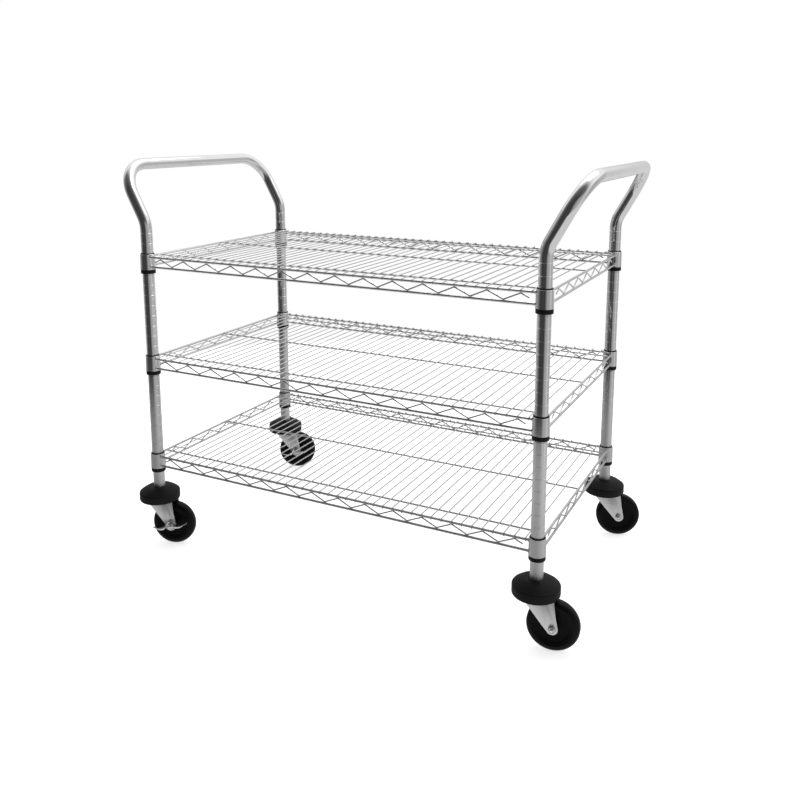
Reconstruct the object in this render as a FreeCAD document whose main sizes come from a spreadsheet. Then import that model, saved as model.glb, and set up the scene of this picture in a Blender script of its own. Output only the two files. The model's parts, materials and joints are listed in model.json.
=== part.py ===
import FreeCAD, Part

import math
import os
import re

import Sketcher
from FreeCAD import Placement, Rotation, Vector

# Wire shelf cart: two bent end frames whose legs are the corner posts, three
# wire shelves wedged on split sleeves, and four stem casters with bumpers.
# Millimetres. X runs along the cart, Y across it (front is -Y), Z is up.
# The origin is on the floor under the middle of the cart.

dimensions = {
    "post_spacing_long": 1000.0,
    "post_spacing_short": 560.0,
    "tube_radius": 14.0,
    "tube_wall": 1.5,
    "post_foot": 135.5,
    "groove_pitch": 25.4,
    "groove_depth": 0.45,
    "groove_width": 1.8,
    "lean_start": 822.5,
    "lean_bend": 70.0,
    "handle_height": 959.5,
    "handle_reach": 75.3,
    "handle_bend": 80.0,
    "low_shelf": 191.5,
    "shelf_spacing": 254.0,
    "sleeve_height": 50.0,
    "sleeve_ring_height": 9.5,
    "sleeve_ring_radius": 17.6,
    "sleeve_slot": 1.0,
    "sleeve_ridge": 23.0,
    "collar_height": 38.0,
    "collar_base_radius": 18.0,
    "collar_top_radius": 17.4,
    "collar_wall": 1.6,
    "rim_radius": 2.75,
    "rim_offset": 6.0,
    "rim_low": 17.0,
    "rim_high": 40.5,
    "snake_radius": 1.6,
    "snake_pitch": 69.8,
    "snake_bend": 4.0,
    "deck_radius": 1.4,
    "deck_pitch": 23.3,
    "rib_radius": 2.0,
    "outer_rib": 245.0,
    "bumper_radius": 50.0,
    "bumper_low": 117.0,
    "bumper_rim": 22.0,
    "bumper_high": 151.5,
    "bumper_recess": 40.0,
    "bumper_round": 2.0,
    "bumper_crown": 16.0,
    "bumper_lip": 6.0,
    "trail": 37.0,
    "wheel_radius": 55.0,
    "wheel_width": 28.0,
    "tread_round": 11.0,
    "rim_edge": 40.0,
    "rim_recess": 1.5,
    "web_recess": 4.0,
    "boss_radius": 13.0,
    "hub_width": 35.0,
    "hub_bore": 6.05,
    "fork_gap": 38.0,
    "fork_plate": 2.5,
    "crown_reach": 29.0,
    "leg_clearance": 2.0,
    "leg_back": 4.3,
    "leg_back_height": 75.0,
    "leg_front": 43.4,
    "leg_front_height": 85.0,
    "leg_shoulder": 39.5,
    "eye_radius": 12.0,
    "crown_low": 123.5,
    "crown_high": 126.5,
    "stem_radius": 6.0,
    "rivet_radius": 10.0,
    "stem_low": 120.7,
    "stem_high": 167.5,
    "race_radius": 24.0,
    "race_low": 131.8,
    "ball_radius": 2.5,
    "ball_circle": 17.0,
    "insert_height": 40.0,
    "bolt_radius": 4.0,
    "hex_radius": 8.4,
    "hex_height": 5.0,
    "bolt_end": 1.5,
    "cam_radius": 10.5,
    "cam_plate": 2.5,
    "lever_plate": 3.0,
    "lever_gap": 0.3,
    "lever_tilt": 11.0,
    "plate_length": 20.0,
    "plate_height": 12.0,
    "plate_flat": 5.0,
    "wing_root": 14.0,
    "wing_bend": 26.0,
    "wing_reach": 46.0,
    "wing_dip": 1.5,
    "wing_lift": 5.0,
    "wing_plate": 2.0,
    "wing_depth": 14.0,
    "front_left_turn": 18.0,
    "back_left_turn": 25.0,
    "front_right_turn": 9.0,
    "back_right_turn": 21.0,
    "running_gap": 0.08,
}

deck_wires = 42
long_peaks = 14
short_peaks = 7
ball_count = 12
eye_sides = 6
tiny = 0.01
shelf_names = ["bottom", "middle", "top"]
ends = {"left": -1, "right": 1}
sides = {"front": -1, "back": 1}
braked_end = "left"

doc = FreeCAD.newDocument("wire_shelf_cart")
sheet = doc.addObject("Spreadsheet::Sheet", "dims")
for row, (alias, value) in enumerate(dimensions.items(), start=1):
    sheet.set(f"A{row}", alias)
    sheet.set(f"B{row}", str(value))
    sheet.setAlias(f"B{row}", alias)
doc.recompute()

parts = []


# ---------------------------------------------------------------- helpers

def cells(expression):
    """The expression with each dimension's name turned into its cell."""
    def cell(match):
        word = match.group()
        return "dims." + word if word in dimensions else word
    return re.sub(r"[a-z_]+", cell, str(expression))


def size(expression):
    """The value of an expression of the sheet's dimensions."""
    return float(sheet.evalExpression(cells(expression)))


def keep(piece, label):
    piece.Label = label
    parts.append(piece)
    return piece


def solid_from(shape, label):
    """A piece whose shape is worked out from the sheet's dimensions."""
    piece = doc.addObject("Part::Feature", label)
    piece.Shape = shape
    piece.Placement = Placement()
    return keep(piece, label)


def new_body(label):
    return keep(doc.addObject("PartDesign::Body", label), label)


def sketch(body, role, name):
    drawn = body.newObject("Sketcher::SketchObject", name)
    plane = next(p for p in body.Origin.OriginFeatures if p.Role == role)
    drawn.AttachmentSupport = [(plane, "")]
    drawn.MapMode = "FlatFace"
    return drawn


def bind(drawn, kind, first, point, expression):
    """Fix one coordinate of a sketched point, measured from the origin."""
    index = drawn.addConstraint(
        Sketcher.Constraint(kind, -1, 1, first, point, size(expression)))
    drawn.setExpression(f"Constraints[{index}]", cells(expression))


def outline(drawn, corners):
    """A closed outline of straight lines through corners given as expressions."""
    points = [Vector(size(x), size(y), 0) for x, y in corners]
    count = len(points)
    first = drawn.GeometryCount
    lines = [Part.LineSegment(points[i], points[(i + 1) % count]) for i in range(count)]
    drawn.addGeometry(lines, False)
    for i in range(count):
        following = first + (i + 1) % count
        drawn.addConstraint(Sketcher.Constraint("Coincident", first + i, 2, following, 1))
    for i, (x, y) in enumerate(corners):
        bind(drawn, "DistanceX", first + i, 1, x)
        bind(drawn, "DistanceY", first + i, 1, y)


def circle(drawn, x, y, radius):
    middle = Vector(size(x), size(y), 0)
    index = drawn.addGeometry(Part.Circle(middle, Vector(0, 0, 1), size(radius)), False)
    bind(drawn, "DistanceX", index, 3, x)
    bind(drawn, "DistanceY", index, 3, y)
    fixed = drawn.addConstraint(Sketcher.Constraint("Radius", index, size(radius)))
    drawn.setExpression(f"Constraints[{fixed}]", cells(radius))


def feature(body, kind, name, drawn, **settings):
    made = body.newObject("PartDesign::" + kind, name)
    made.Profile = drawn
    for key, value in settings.items():
        setattr(made, key, value)
    return made


def turned(body, corners):
    """Revolve an outline of (radius, height) corners about the body's Z axis."""
    drawn = sketch(body, "XZ_Plane", body.Name + "_profile")
    outline(drawn, corners)
    return feature(body, "Revolution", body.Name + "_turned", drawn,
                   ReferenceAxis=(drawn, ["V_Axis"]), Angle=360)


def pad(body, drawn, length, symmetric=False, back=False):
    made = feature(body, "Pad", drawn.Name + "_pad", drawn, Midplane=symmetric, Reversed=back)
    made.setExpression("Length", cells(length))
    return made


def pocket_through(body, drawn):
    """Cut a sketch right through the body, both ways."""
    return feature(body, "Pocket", drawn.Name + "_cut", drawn, Type="ThroughAll", Midplane=True)


def rounded(body, radius, chosen):
    """Round the edges of the body's tip that the test picks."""
    doc.recompute()
    base = body.Tip
    names = [f"Edge{i}" for i, edge in enumerate(base.Shape.Edges, start=1) if chosen(edge)]
    made = body.newObject("PartDesign::Fillet", body.Name + "_rounded")
    made.Base = (base, names)
    made.setExpression("Radius", cells(radius))
    return made


def rod(start, end, radius):
    return Part.makeCylinder(radius, (end - start).Length, start, end - start)


def swept(path, radius):
    """A round bar along a wire of lines and tangent arcs."""
    start = path.Edges[0]
    section = Part.Wire(Part.makeCircle(
        radius, start.valueAt(start.FirstParameter), start.tangentAt(start.FirstParameter)))
    return path.makePipeShell([section], True, True)


def filleted_path(points, radii):
    """Straight runs through the points, with an arc at each inner point."""
    edges = []
    last = points[0]
    for i in range(1, len(points) - 1):
        inward = (points[i - 1] - points[i]).normalize()
        outward = (points[i + 1] - points[i]).normalize()
        half = inward.getAngle(outward) / 2
        reach = radii[i - 1] / math.tan(half)
        middle = (inward + outward).normalize() * (radii[i - 1] * (1 / math.sin(half) - 1))
        begin = points[i] + inward * reach
        finish = points[i] + outward * reach
        if (begin - last).Length > 1e-6:
            edges.append(Part.LineSegment(last, begin).toShape())
        edges.append(Part.Arc(begin, points[i] + middle, finish).toShape())
        last = finish
    edges.append(Part.LineSegment(last, points[-1]).toShape())
    return Part.Wire(edges)


# ---------------------------------------------------------------- end frames

def post_outline():
    """Wall of one straight post, with a groove at every pitch along it."""
    radius = size("tube_radius")
    depth = size("groove_depth")
    half = size("groove_width / 2")
    foot = size("post_foot")
    straight_end = size("lean_start") - size("lean_bend")
    pitch = size("groove_pitch")
    level = size("low_shelf + sleeve_ridge")
    outer = [Vector(radius, 0, foot)]
    while level < straight_end - half:
        outer += [Vector(radius, 0, level - half), Vector(radius - depth, 0, level - half),
                  Vector(radius - depth, 0, level + half), Vector(radius, 0, level + half)]
        level += pitch
    outer.append(Vector(radius, 0, straight_end))
    inner = [Vector(radius - size("tube_wall"), 0, straight_end),
             Vector(radius - size("tube_wall"), 0, foot)]
    wire = Part.makePolygon(outer + inner + [outer[0]])
    return Part.Face(wire).revolve(Vector(0, 0, 0), Vector(0, 0, 1), 360), straight_end


def end_frame(end, way):
    """One bent tube: two posts, the leaning legs and the push bar."""
    post, straight_end = post_outline()
    x = way * size("post_spacing_long / 2")
    y = size("post_spacing_short / 2")
    reach = x + way * size("handle_reach")
    top = size("handle_height")
    lean = size("lean_start")
    points = [Vector(x, -y, straight_end), Vector(x, -y, lean), Vector(reach, -y, top),
              Vector(reach, y, top), Vector(x, y, lean), Vector(x, y, straight_end)]
    bends = [size("lean_bend"), size("handle_bend"), size("handle_bend"), size("lean_bend")]
    path = filleted_path(points, bends)
    bar = swept(path, size("tube_radius")).cut(swept(path, size("tube_radius - tube_wall")))
    shape = bar
    for side in (-1, 1):
        shape = shape.fuse(post.translated(Vector(x, side * y, 0)))
    solid_from(Part.Solid(shape.removeSplitter().Shells[0]), f"{end}_end_frame")


# ---------------------------------------------------------------- shelves

def corner_points():
    x = size("post_spacing_long / 2")
    y = size("post_spacing_short / 2")
    return [Vector(sx * x, sy * y, 0) for sx in (-1, 1) for sy in (-1, 1)]


def at_corners(shape, level):
    return [shape.translated(point + Vector(0, 0, level)) for point in corner_points()]


def frustum(low, high, low_radius, high_radius):
    return Part.makeCone(low_radius, high_radius, high - low, Vector(0, 0, low))


def collar_outer():
    low = size("sleeve_ring_height")
    return frustum(low, low + size("collar_height"),
                   size("collar_base_radius"), size("collar_top_radius"))


def collar_inner():
    low = size("sleeve_ring_height")
    return frustum(low, low + size("collar_height"),
                   size("collar_base_radius - collar_wall"),
                   size("collar_top_radius - collar_wall"))


def split_sleeve():
    """Two half sleeves that wedge a collar on its post, with a ridge in a groove."""
    bore = size("tube_radius")
    ring = size("sleeve_ring_height")
    low = size("collar_base_radius - collar_wall")
    high = size("collar_top_radius - collar_wall")
    collar_top = ring + size("collar_height")
    height = size("sleeve_height")
    ridge = size("sleeve_ridge")
    half = size("groove_width / 2") - 0.2
    tip = bore - size("groove_depth") + 0.1
    profile = [(bore, 0), (size("sleeve_ring_radius"), 0), (size("sleeve_ring_radius"), ring),
               (low, ring), (high, collar_top), (high, height), (bore, height),
               (bore, ridge + half), (tip, ridge + half), (tip, ridge - half),
               (bore, ridge - half), (bore, 0)]
    face = Part.Face(Part.makePolygon([Vector(r, 0, z) for r, z in profile]))
    whole = face.revolve(Vector(0, 0, 0), Vector(0, 0, 1), 360)
    slot = size("sleeve_slot")
    width = 4 * size("sleeve_ring_radius")
    gap = Part.makeBox(slot, width, 2 * height, Vector(-slot / 2, -width / 2, -height / 2))
    return whole.cut(gap)


def rim_sides():
    """The four sides of a shelf as (start, end) lines through its collars."""
    x = size("post_spacing_long / 2")
    y = size("post_spacing_short / 2")
    off = size("rim_offset")
    return [(Vector(-x, -y - off, 0), Vector(x, -y - off, 0)),
            (Vector(-x, y + off, 0), Vector(x, y + off, 0)),
            (Vector(-x - off, -y, 0), Vector(-x - off, y, 0)),
            (Vector(x + off, -y, 0), Vector(x + off, y, 0))]


def rim_wires(level):
    """Upper and lower rim wires of all four sides, cut to the collars."""
    radius = size("rim_radius")
    wires = []
    for start, end in rim_sides():
        for height in (size("rim_low"), size("rim_high")):
            lift = Vector(0, 0, level + height)
            wires.append(rod(start + lift, end + lift, radius))
    collars = Part.makeCompound(at_corners(collar_outer(), level))
    trimmed = [wire.cut(collars).Solids for wire in wires]
    return [max(pieces, key=lambda solid: solid.Volume) for pieces in trimmed]


def snake_wire(start, end, peaks, level):
    """A zigzag truss wire that touches both rim wires of a side at its bends."""
    touch = size("rim_radius + snake_radius")
    low = level + size("rim_low") + touch
    high = level + size("rim_high") - touch
    along = (end - start).normalize()
    middle = (start + end) / 2
    pitch = size("snake_pitch")
    bend = size("snake_bend")
    # a bend's arc stays inside its corner, so the corners stand a little proud
    slope = math.atan2(high - low, pitch / 2)
    proud = bend * (1 / math.cos(slope) - 1)
    points = []
    for i in range(2 * peaks - 1):
        offset = (i - (peaks - 1)) * pitch / 2
        height = high + proud if i % 2 == 0 else low - proud
        points.append(middle + along * offset + Vector(0, 0, height))
    drop = Vector(0, 0, (low - high) / 2)
    first = points[0] - along * (pitch / 4) + drop
    last = points[-1] + along * (pitch / 4) + drop
    path = filleted_path([first] + points + [last], [bend] * len(points))
    return swept(path, size("snake_radius"))


def snake_wires(level):
    counts = [long_peaks, long_peaks, short_peaks, short_peaks]
    return [snake_wire(*side, peaks, level) for side, peaks in zip(rim_sides(), counts)]


def deck_height():
    return size("rim_high + rim_radius + deck_radius")


def deck_wire(level):
    """One deck wire across the shelf, its ends curled over the rim wires."""
    reach = size("post_spacing_short / 2 + rim_offset")
    curl = size("rim_radius + deck_radius")
    rim = level + size("rim_high")
    wrap = math.radians(115)
    half_wrap = wrap / 2
    top = level + deck_height()

    def on_curl(side, angle):
        return Vector(0, side * (reach + curl * math.sin(angle)), rim + curl * math.cos(angle))

    front = Part.Arc(on_curl(-1, wrap), on_curl(-1, half_wrap), Vector(0, -reach, top)).toShape()
    run = Part.LineSegment(Vector(0, -reach, top), Vector(0, reach, top)).toShape()
    back = Part.Arc(Vector(0, reach, top), on_curl(1, half_wrap), on_curl(1, wrap)).toShape()
    return swept(Part.Wire([front, run, back]), size("deck_radius"))


def deck(level):
    wire = deck_wire(level)
    pitch = size("deck_pitch")
    return [wire.translated(Vector((i - (deck_wires - 1) / 2) * pitch, 0, 0))
            for i in range(deck_wires)]


def ribs(level):
    """Three long wires under the deck, from one side rim to the other."""
    x = size("post_spacing_long / 2 + rim_offset - rim_radius")
    z = level + deck_height() - size("deck_radius + rib_radius")
    offset = size("outer_rib")
    return [rod(Vector(-x, y, z), Vector(x, y, z), size("rib_radius"))
            for y in (-offset, 0.0, offset)]


def shelf(name, level):
    collar = collar_outer().cut(collar_inner())
    groups = {
        "corner_collars": at_corners(collar, level),
        "split_sleeves": at_corners(split_sleeve(), level),
        "rim_wires": rim_wires(level),
        "truss_wires": snake_wires(level),
        "deck_wires": deck(level),
        "ribs": ribs(level),
    }
    for piece, shapes in groups.items():
        solid_from(Part.makeCompound(shapes), f"{name}_shelf_{piece}")


# ---------------------------------------------------------------- casters

def seat(name):
    """Where a caster stands: under its post, and turned about its stem."""
    side, end = name.split("_")
    x = ends[end] * size("post_spacing_long / 2")
    y = sides[side] * size("post_spacing_short / 2")
    return Placement(Vector(x, y, 0), Rotation(Vector(0, 0, 1), size(name + "_turn")))


def seated_body(name, piece, spot=Placement()):
    body = new_body(f"{name}_{piece}")
    body.Placement = seat(name) * spot
    return body


def seated_solids(name, piece, shapes):
    turned_shapes = [shape.transformed(seat(name).toMatrix()) for shape in shapes]
    solid_from(Part.makeCompound(turned_shapes), f"{name}_{piece}")


def bumper(name):
    """Rubber ring pressed on the foot of a post, hollow underneath."""
    body = seated_body(name, "bumper")
    shoulder = "bumper_low + bumper_rim"
    turned(body, [
        ("tube_radius", "post_foot"),
        ("bumper_recess", "post_foot"),
        ("bumper_recess", "bumper_low"),
        ("bumper_radius - bumper_round", "bumper_low"),
        ("bumper_radius", "bumper_low + bumper_round"),
        ("bumper_radius", f"{shoulder} - 2 * bumper_round"),
        ("bumper_radius - 2 * bumper_round", shoulder),
        ("bumper_radius - bumper_crown", "bumper_high - bumper_crown / 2"),
        ("tube_radius + bumper_lip", "bumper_high"),
        ("tube_radius", "bumper_high"),
    ])


def stem(name):
    """Stem riveted under the fork crown and screwed into the post's insert."""
    body = seated_body(name, "stem")
    turned(body, [
        ("0", "stem_low"),
        ("rivet_radius", "stem_low"),
        ("rivet_radius", "crown_low - lever_gap"),
        ("stem_radius", "crown_low - lever_gap"),
        ("stem_radius", "stem_high"),
        ("0", "stem_high"),
    ])


def eye_corners(first, last):
    """Corners of the round end of a fork leg, between two directions in degrees."""
    step = (last - first) / eye_sides
    angles = [first + i * step for i in range(eye_sides + 1)]
    return [(f"trail + eye_radius * cos({angle})", f"wheel_radius + eye_radius * sin({angle})")
            for angle in angles]


def fork(name):
    """Pressed fork: a crown plate under the bumper and two legs that taper to the axle."""
    body = seated_body(name, "fork")
    profile = sketch(body, "XZ_Plane", body.Name + "_side")
    below = "bumper_low - running_gap - leg_clearance"
    outline(profile, [
        ("-crown_reach", "crown_high"),
        ("-crown_reach", below),
        ("leg_back", "leg_back_height"),
        *eye_corners(222, 371),
        ("leg_front", "leg_front_height"),
        ("leg_shoulder", below),
        ("crown_reach", "bumper_low"),
        ("crown_reach", "crown_high"),
    ])
    pad(body, profile, "fork_gap + 2 * fork_plate", symmetric=True)
    inside = sketch(body, "YZ_Plane", body.Name + "_inside")
    outline(inside, [
        ("-fork_gap / 2", "0"),
        ("fork_gap / 2", "0"),
        ("fork_gap / 2", "crown_low"),
        ("-fork_gap / 2", "crown_low"),
    ])
    pocket_through(body, inside)
    eyes = sketch(body, "XZ_Plane", body.Name + "_eyes")
    circle(eyes, "trail", "wheel_radius", "bolt_radius")
    pocket_through(body, eyes)
    pivot = sketch(body, "XY_Plane", body.Name + "_pivot")
    circle(pivot, "0", "0", "stem_radius + running_gap")
    pocket_through(body, pivot)
    crown = size("crown_high")
    side = size("fork_gap / 2 + fork_plate")

    def crown_edge(edge):
        middle = edge.CenterOfMass
        return abs(middle.z - crown) < tiny and abs(abs(middle.y) - side) < tiny
    rounded(body, "fork_plate", crown_edge)


def bearing_balls(name):
    """Ring of balls between the fork crown and the upper race."""
    radius = size("ball_radius")
    circle_radius = size("ball_circle")
    height = size("crown_high") + radius
    balls = []
    for i in range(ball_count):
        angle = 2 * math.pi * i / ball_count
        middle = Vector(circle_radius * math.cos(angle), circle_radius * math.sin(angle), height)
        balls.append(Part.makeSphere(radius, middle))
    seated_solids(name, "bearing_balls", balls)


def axle_body(name, piece):
    """A body turned about the axle: its Z axis lies along the axle."""
    axle = Placement(Vector(size("trail"), 0, size("wheel_radius")), Rotation(Vector(1, 0, 0), -90))
    return seated_body(name, piece, axle)


def turned_both_ways(body, half):
    """Revolve a profile given for one side of the wheel and mirrored to the other."""
    turned(body, half + [(radius, f"-({height})") for radius, height in reversed(half)])


def hub(name):
    rim = "wheel_width / 2 - rim_recess"
    web = "wheel_width / 2 - web_recess"
    turned_both_ways(axle_body(name, "wheel_hub"), [
        ("hub_bore", "hub_width / 2"),
        ("boss_radius", "hub_width / 2"),
        ("boss_radius + rim_recess", web),
        ("rim_edge - web_recess - rim_recess", web),
        ("rim_edge - web_recess", rim),
        ("rim_edge", rim),
    ])


def tyre(name):
    side = "wheel_width / 2"
    tread = [(f"wheel_radius - tread_round * (1 - cos({angle}))",
              f"{side} - tread_round * (1 - sin({angle}))") for angle in (90, 60, 30, 0)]
    turned_both_ways(axle_body(name, "tyre"), [
        ("rim_edge", f"{side} - rim_recess"),
        ("rim_edge + rim_recess", side),
        *tread,
    ])


def axle_sleeve(name):
    turned_both_ways(axle_body(name, "axle_sleeve"), [
        ("bolt_radius", "fork_gap / 2"),
        ("hub_bore - running_gap", "fork_gap / 2"),
    ])


def hex_prism(depth, centre):
    radius = size("hex_radius")
    corners = [Vector(radius * math.cos(math.radians(60 * i)), 0,
                      radius * math.sin(math.radians(60 * i))) + centre for i in range(7)]
    return Part.Face(Part.makePolygon(corners)).extrude(Vector(0, depth, 0))


def axle_bolt(name, stack):
    """Axle bolt with its head behind the wheel and its nut on the front leg or lever."""
    centre = Vector(size("trail"), 0, size("wheel_radius"))
    face = size("fork_gap / 2 + fork_plate")
    height = size("hex_height")
    radius = size("bolt_radius")
    head_at = centre + Vector(0, face, 0)
    nut_at = centre - Vector(0, face + stack + height, 0)
    shank = rod(nut_at - Vector(0, size("bolt_end"), 0), head_at, radius)
    bolt = hex_prism(height, head_at).fuse(shank).removeSplitter()
    nut = hex_prism(height, nut_at).cut(shank)
    seated_solids(name, "axle_bolt", [bolt, nut])


def brake_cam(name):
    """Ramped collar keyed to the front leg, under the brake lever."""
    leg = "fork_gap / 2 + fork_plate"
    turned(axle_body(name, "brake_cam"), [
        ("bolt_radius", f"-({leg})"),
        ("cam_radius", f"-({leg})"),
        ("cam_radius - 1", f"-({leg} + cam_plate)"),
        ("bolt_radius", f"-({leg} + cam_plate)"),
    ])


def brake_lever(name):
    """Pressed rocker on the axle bolt: a lozenge plate with a wavy wing each side."""
    face = size("fork_gap / 2 + fork_plate + cam_plate + lever_gap")
    spot = Placement(Vector(size("trail"), -face, size("wheel_radius")),
                     Rotation(Vector(0, 1, 0), -size("lever_tilt")))
    body = seated_body(name, "brake_lever", spot)
    plate = sketch(body, "XZ_Plane", body.Name + "_plate")
    outline(plate, [("-plate_length", "0"), ("-plate_flat", "-plate_height"),
                    ("plate_flat", "-plate_height"), ("plate_length", "0"),
                    ("plate_flat", "plate_height"), ("-plate_flat", "plate_height")])
    circle(plate, "0", "0", "bolt_radius + running_gap")
    pad(body, plate, "lever_plate")
    wings = sketch(body, "XZ_Plane", body.Name + "_wings")
    for way in ("", "-"):
        outline(wings, [
            (way + "wing_root", "-wing_plate"),
            (way + "wing_bend", "-wing_dip - wing_plate"),
            (way + "wing_reach", "wing_lift - wing_plate"),
            (way + "wing_reach", "wing_lift"),
            (way + "wing_bend", "-wing_dip"),
            (way + "wing_root", "wing_plate"),
        ])
    pad(body, wings, "wing_depth")


def caster(name):
    braked = name.endswith(braked_end)
    bumper(name)
    stem(name)
    fork(name)
    bearing_balls(name)
    hub(name)
    tyre(name)
    axle_sleeve(name)
    axle_bolt(name, size("cam_plate + lever_plate + 2 * lever_gap") if braked else 0.0)
    if braked:
        brake_cam(name)
        brake_lever(name)


def ring(inner, outer, low, high):
    base = Vector(0, 0, low)
    return Part.makeCylinder(outer, high - low, base).cut(Part.makeCylinder(inner, high - low, base))


def post_fittings():
    """Threaded inserts in the feet of the posts, and the races under them."""
    foot = size("post_foot")
    insert = ring(size("stem_radius"), size("tube_radius - tube_wall"),
                  foot, foot + size("insert_height"))
    race = ring(size("stem_radius"), size("race_radius"), size("race_low"), foot)
    solid_from(Part.makeCompound(at_corners(insert, 0)), "post_inserts")
    solid_from(Part.makeCompound(at_corners(race, 0)), "upper_races")


# ---------------------------------------------------------------- assembly

for end_name, way_out in ends.items():
    end_frame(end_name, way_out)
for number, shelf_name in enumerate(shelf_names):
    shelf(shelf_name, size("low_shelf") + number * size("shelf_spacing"))
post_fittings()
for end_name in ends:
    for side_name in sides:
        caster(f"{side_name}_{end_name}")

doc.recompute()
for item in doc.Objects:
    failed = {"Invalid", "Error"} & set(item.State)
    if failed:
        raise RuntimeError(f"{item.Label}: {sorted(failed)}")
for piece in parts:
    if piece.Shape.isNull() or not piece.Shape.isValid():
        raise RuntimeError(f"{piece.Label}: no valid shape")

os.makedirs("parts", exist_ok=True)
for piece in parts:
    piece.Shape.exportStep(os.path.join("parts", piece.Label + ".step"))
print(len(parts), "sub-parts written")
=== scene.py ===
import json
import math

import bpy
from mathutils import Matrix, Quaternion, Vector


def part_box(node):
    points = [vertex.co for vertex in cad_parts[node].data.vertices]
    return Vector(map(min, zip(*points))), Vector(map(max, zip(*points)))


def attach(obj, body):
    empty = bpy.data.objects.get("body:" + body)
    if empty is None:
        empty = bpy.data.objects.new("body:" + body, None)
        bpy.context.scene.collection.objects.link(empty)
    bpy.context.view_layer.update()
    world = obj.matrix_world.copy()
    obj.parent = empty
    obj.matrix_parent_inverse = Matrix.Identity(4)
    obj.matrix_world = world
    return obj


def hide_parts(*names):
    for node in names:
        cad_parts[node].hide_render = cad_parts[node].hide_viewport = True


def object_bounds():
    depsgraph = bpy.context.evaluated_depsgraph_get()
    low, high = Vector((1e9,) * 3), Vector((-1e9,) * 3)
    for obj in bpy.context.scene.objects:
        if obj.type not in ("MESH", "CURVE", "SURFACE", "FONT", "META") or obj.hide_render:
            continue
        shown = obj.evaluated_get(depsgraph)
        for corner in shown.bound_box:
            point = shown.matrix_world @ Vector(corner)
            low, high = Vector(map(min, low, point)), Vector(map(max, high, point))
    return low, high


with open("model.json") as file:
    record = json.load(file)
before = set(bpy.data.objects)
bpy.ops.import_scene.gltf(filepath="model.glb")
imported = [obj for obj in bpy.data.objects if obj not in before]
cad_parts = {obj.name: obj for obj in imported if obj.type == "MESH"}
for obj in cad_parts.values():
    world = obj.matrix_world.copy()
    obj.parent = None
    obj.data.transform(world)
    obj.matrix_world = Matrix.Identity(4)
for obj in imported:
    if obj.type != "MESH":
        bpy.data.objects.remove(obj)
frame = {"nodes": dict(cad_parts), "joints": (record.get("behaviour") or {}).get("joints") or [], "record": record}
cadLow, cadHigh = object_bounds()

record = frame["record"]
joints = {joint["name"]: joint for joint in frame["joints"]}
mounts = {mount["name"]: mount for mount in record["mounts"]}
mm = 0.001
up = Vector((0, 0, 1))
shelves = ["bottom", "middle", "top"]
corners = ["front_left", "back_left", "front_right", "back_right"]
postAt = {c: Vector(joints[c + "_swivel"]["pos_m"][:2] + [0]) for c in corners}
axleAt = {c: Vector(joints[c + "_roll"]["pos_m"]) for c in corners}
turnOf = {c: math.atan2(-joints[c + "_roll"]["axis"][0], joints[c + "_roll"]["axis"][1]) for c in corners}
trail = (axleAt["front_left"].xy - postAt["front_left"].xy).length
axleHeight = axleAt["front_left"].z
shelfLow = {s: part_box(s + "_shelf_split_sleeves")[0].z for s in shelves}
tubeRadius = mounts["left_push_bar"]["dims"]["r_mm"] * mm


# a small wrapper, so that shader maths reads as plain Python

class Signal:
    def __init__(self, finish, socket):
        self.finish = finish
        self.socket = socket

    def maths(self, operation, first, second):
        return self.finish.node("ShaderNodeMath", {"operation": operation}, {0: first, 1: second})

    def __add__(self, other):
        return self.maths("ADD", self, other)

    def __sub__(self, other):
        return self.maths("SUBTRACT", self, other)

    def __rsub__(self, other):
        return self.maths("SUBTRACT", other, self)

    def __mul__(self, other):
        return self.maths("MULTIPLY", self, other)

    __radd__ = __add__
    __rmul__ = __mul__


class Finish:
    def __init__(self, name, **fixed):
        self.material = bpy.data.materials.new(name)
        self.material.use_nodes = True
        self.tree = self.material.node_tree
        self.shader = self.tree.nodes["Principled BSDF"]
        self.set(**fixed)

    def set(self, **values):
        # baseColor goes to the socket "Base Color", and so on
        for key, value in values.items():
            words = "".join(" " + c if c.isupper() else c for c in key)
            self.feed(self.shader.inputs[words[:1].upper() + words[1:]], value)

    def glint(self, level):
        self.shader.inputs["Specular IOR Level"].default_value = level

    def feed(self, socket, value):
        if isinstance(value, Signal):
            self.tree.links.new(value.socket, socket)
        else:
            socket.default_value = value

    def node(self, kind, settings, values, output=0):
        made = self.tree.nodes.new(kind)
        stops = settings.pop("stops", None)
        for key, value in settings.items():
            setattr(made, key, value)
        if stops:
            ramp = made.color_ramp
            for i, (place, shade) in enumerate(stops):
                stop = ramp.elements[i] if i < 2 else ramp.elements.new(place)
                stop.position = place
                stop.color = (shade, shade, shade, 1)
        for key, value in values.items():
            self.feed(made.inputs[key], value)
        return Signal(self, made.outputs[output])

    def place(self, stretch=(1, 1, 1)):
        spot = self.node("ShaderNodeTexCoord", {}, {}, output="Object")
        return self.node("ShaderNodeMapping", {}, {"Vector": spot, "Scale": stretch})

    def noise(self, scale, stretch=(1, 1, 1), detail=3.0, roughness=0.5):
        return self.node("ShaderNodeTexNoise", {}, {
            "Vector": self.place(stretch), "Scale": scale, "Detail": detail, "Roughness": roughness})

    def height(self):
        # metres above the floor, as the pieces stand unturned at the origin
        spot = self.node("ShaderNodeTexCoord", {}, {}, output="Object")
        return self.node("ShaderNodeSeparateXYZ", {}, {"Vector": spot}, output=2)

    def ramp(self, value, stops):
        return self.node("ShaderNodeValToRGB", {"stops": stops}, {"Fac": value})

    def tint(self, mask, first, second):
        return self.node("ShaderNodeMix", {"data_type": "RGBA"},
                         {0: mask, 6: first, 7: second}, output=2)

    def bump(self, height, distance, strength=1.0):
        return self.node("ShaderNodeBump", {},
                         {"Height": height, "Distance": distance, "Strength": strength})


def grey(shade):
    return (shade, shade, shade, 1)


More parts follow.
